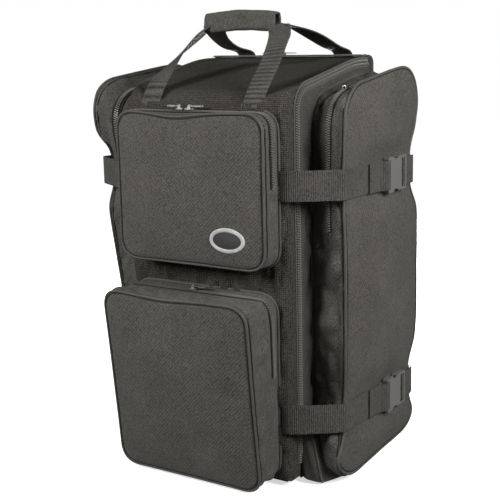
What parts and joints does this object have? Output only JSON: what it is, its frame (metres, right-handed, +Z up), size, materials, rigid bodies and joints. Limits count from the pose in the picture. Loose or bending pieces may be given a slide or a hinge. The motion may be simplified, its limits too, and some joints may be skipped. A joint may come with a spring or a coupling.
{
  "type": "rolling gear bag",
  "caption": "Tall soft rolling bag with a zipped front flap, front and side pockets, compression straps with side-release buckles, a padded carry handle, wheels and a telescopic trolley handle.",
  "frame": {"origin": "the middle of the whole bag's outline, on the floor", "axes": "+X is the bag's right-hand side seen from its front, +Y is its back, +Z is up"},
  "size_m": [0.5116, 0.431, 0.795],
  "materials": {
    "shell_fabric": "charcoal ballistic nylon with a visible weave",
    "pocket_fabric": "charcoal twill nylon, softly wrinkled",
    "grip_fabric": "charcoal nylon over foam",
    "cover_fabric": "dark nylon",
    "piping": "woven binding over a cord",
    "zip_tape": "woven tape with nylon coils",
    "webbing": "ribbed nylon webbing",
    "cord": "braided cord",
    "board": "plain sheet",
    "patch": "bare moulded oval with a pale rim",
    "buckle": "fine moulded texture",
    "housing": "fine moulded texture",
    "button": "smooth moulding",
    "hub": "smooth moulding",
    "tyre": "plain soft tread",
    "foot": "plain moulding",
    "axle": "drawn bar",
    "tube": "satin anodised",
    "slider_metal": "bright plated casting"
  },
  "bodies": {
    "bag": {"main_shell": "shell_fabric", "back_board": "board", "base_board": "board", "fold_cord": "cord", "front_feet": "foot", "wheel_housing_left": "housing", "wheel_housing_right": "housing", "wheel_axles": "axle", "side_pocket_left": "pocket_fabric", "side_pocket_right": "pocket_fabric", "side_piping": "piping", "side_zips": "zip_tape", "body_zip": "zip_tape", "rear_handle_web": "webbing", "trolley_outer_tubes": "tube", "trolley_bracket": "housing", "trolley_bezel": "housing", "trolley_cover": "cover_fabric", "straps_rear": "webbing"},
    "flap": {"flap_panel": "shell_fabric", "flap_zip": "zip_tape", "upper_pocket": "pocket_fabric", "upper_piping": "piping", "upper_zip": "zip_tape", "lower_pocket": "pocket_fabric", "lower_piping": "piping", "lower_zip": "zip_tape", "badge": "patch", "front_handle_web": "webbing", "handle_grip": "grip_fabric", "straps_front": "webbing", "buckle_sockets": "buckle"},
    "wheel_left": {"tyre_left": "tyre", "hub_left": "hub"},
    "wheel_right": {"tyre_right": "tyre", "hub_right": "hub"},
    "trolley": {"trolley_inner_tubes": "tube", "trolley_grip": "housing"},
    "button": {"trolley_button": "button", "lock_rods": "axle"},
    "plug_left_high": {"plug_left_high": "buckle"},
    "plug_left_low": {"plug_left_low": "buckle"},
    "plug_right_high": {"plug_right_high": "buckle"},
    "plug_right_low": {"plug_right_low": "buckle"},
    "slider_upper_left": {"slider_upper_left": "slider_metal"},
    "pull_upper_left": {"pull_upper_left": "slider_metal"},
    "slider_upper_right": {"slider_upper_right": "slider_metal"},
    "pull_upper_right": {"pull_upper_right": "slider_metal"},
    "slider_lower": {"slider_lower": "slider_metal"},
    "pull_lower": {"pull_lower": "slider_metal"},
    "slider_side_left": {"slider_side_left": "slider_metal"},
    "pull_side_left": {"pull_side_left": "slider_metal"},
    "slider_side_right": {"slider_side_right": "slider_metal"},
    "pull_side_right": {"pull_side_right": "slider_metal"},
    "slider_main_left": {"slider_main_left": "slider_metal"},
    "pull_main_left": {"pull_main_left": "slider_metal"},
    "slider_main_right": {"slider_main_right": "slider_metal"},
    "pull_main_right": {"pull_main_right": "slider_metal"}
  },
  "joints": [
    {"name": "flap_fold", "type": "hinge", "parent": "bag", "child": "flap", "pos_m": [0, -0.114, 0.013], "axis": [1, 0, 0], "range_deg": [0, 90]},
    {"name": "wheel_left_spin", "type": "hinge", "parent": "bag", "child": "wheel_left", "pos_m": [-0.13, 0.1755, 0.04], "axis": [1, 0, 0], "continuous": true},
    {"name": "wheel_right_spin", "type": "hinge", "parent": "bag", "child": "wheel_right", "pos_m": [0.13, 0.1755, 0.04], "axis": [1, 0, 0], "continuous": true},
    {"name": "trolley_slide", "type": "slide", "parent": "bag", "child": "trolley", "axis": [0, 0, 1], "range_m": [0, 0.4]},
    {"name": "button_press", "type": "slide", "parent": "trolley", "child": "button", "axis": [0, 0, -1], "range_m": [0, 0.0036], "stiffness_N_per_m": 4000, "springref_m": -0.002},
    {"name": "plug_left_high_release", "type": "slide", "parent": "bag", "child": "plug_left_high", "axis": [0, 1, 0], "range_m": [0, 0.028]},
    {"name": "plug_left_low_release", "type": "slide", "parent": "bag", "child": "plug_left_low", "axis": [0, 1, 0], "range_m": [0, 0.028]},
    {"name": "plug_right_high_release", "type": "slide", "parent": "bag", "child": "plug_right_high", "axis": [0, 1, 0], "range_m": [0, 0.028]},
    {"name": "plug_right_low_release", "type": "slide", "parent": "bag", "child": "plug_right_low", "axis": [0, 1, 0], "range_m": [0, 0.028]},
    {"name": "slider_upper_left_run", "type": "slide", "parent": "flap", "child": "slider_upper_left", "axis": [-1, 0, 0], "range_m": [0, 0.08]},
    {"name": "pull_upper_left_swing", "type": "hinge", "parent": "slider_upper_left", "child": "pull_upper_left", "pos_m": [-0.025, -0.1415, 0.6431], "axis": [0, 1, 0], "range_deg": [0, 120]},
    {"name": "slider_upper_right_run", "type": "slide", "parent": "flap", "child": "slider_upper_right", "axis": [1, 0, 0], "range_m": [0, 0.105]},
    {"name": "pull_upper_right_swing", "type": "hinge", "parent": "slider_upper_right", "child": "pull_upper_right", "pos_m": [-0.005, -0.1415, 0.6431], "axis": [0, -1, 0], "range_deg": [0, 120]},
    {"name": "slider_lower_run", "type": "slide", "parent": "flap", "child": "slider_lower", "axis": [1, 0, 0], "range_m": [-0.1, 0.11]},
    {"name": "pull_lower_swing", "type": "hinge", "parent": "slider_lower", "child": "pull_lower", "pos_m": [-0.008, -0.1435, 0.3391], "axis": [0, -1, 0], "range_deg": [0, 120]},
    {"name": "slider_side_left_run", "type": "slide", "parent": "bag", "child": "slider_side_left", "axis": [0, 0.9879, 0.1551], "range_m": [-0.015, 0.098]},
    {"name": "pull_side_left_swing", "type": "hinge", "parent": "slider_side_left", "child": "pull_side_left", "pos_m": [-0.208, 0.00065, 0.67063], "axis": [1, 0, 0], "range_deg": [0, 120]},
    {"name": "slider_side_right_run", "type": "slide", "parent": "bag", "child": "slider_side_right", "axis": [0, 0.9879, 0.1551], "range_m": [-0.015, 0.098]},
    {"name": "pull_side_right_swing", "type": "hinge", "parent": "slider_side_right", "child": "pull_side_right", "pos_m": [0.208, 0.00065, 0.67063], "axis": [1, 0, 0], "range_deg": [0, 120]},
    {"name": "slider_main_left_run", "type": "slide", "parent": "bag", "child": "slider_main_left", "axis": [-1, 0, 0], "range_m": [0, 0.025]},
    {"name": "pull_main_left_swing", "type": "hinge", "parent": "slider_main_left", "child": "pull_main_left", "pos_m": [-0.028, 0.1605, 0.7211], "axis": [0, 1, 0], "range_deg": [0, 120]},
    {"name": "slider_main_right_run", "type": "slide", "parent": "bag", "child": "slider_main_right", "axis": [1, 0, 0], "range_m": [0, 0.06]},
    {"name": "pull_main_right_swing", "type": "hinge", "parent": "slider_main_right", "child": "pull_main_right", "pos_m": [-0.008, 0.1605, 0.7211], "axis": [0, -1, 0], "range_deg": [0, 120]}
  ]
}
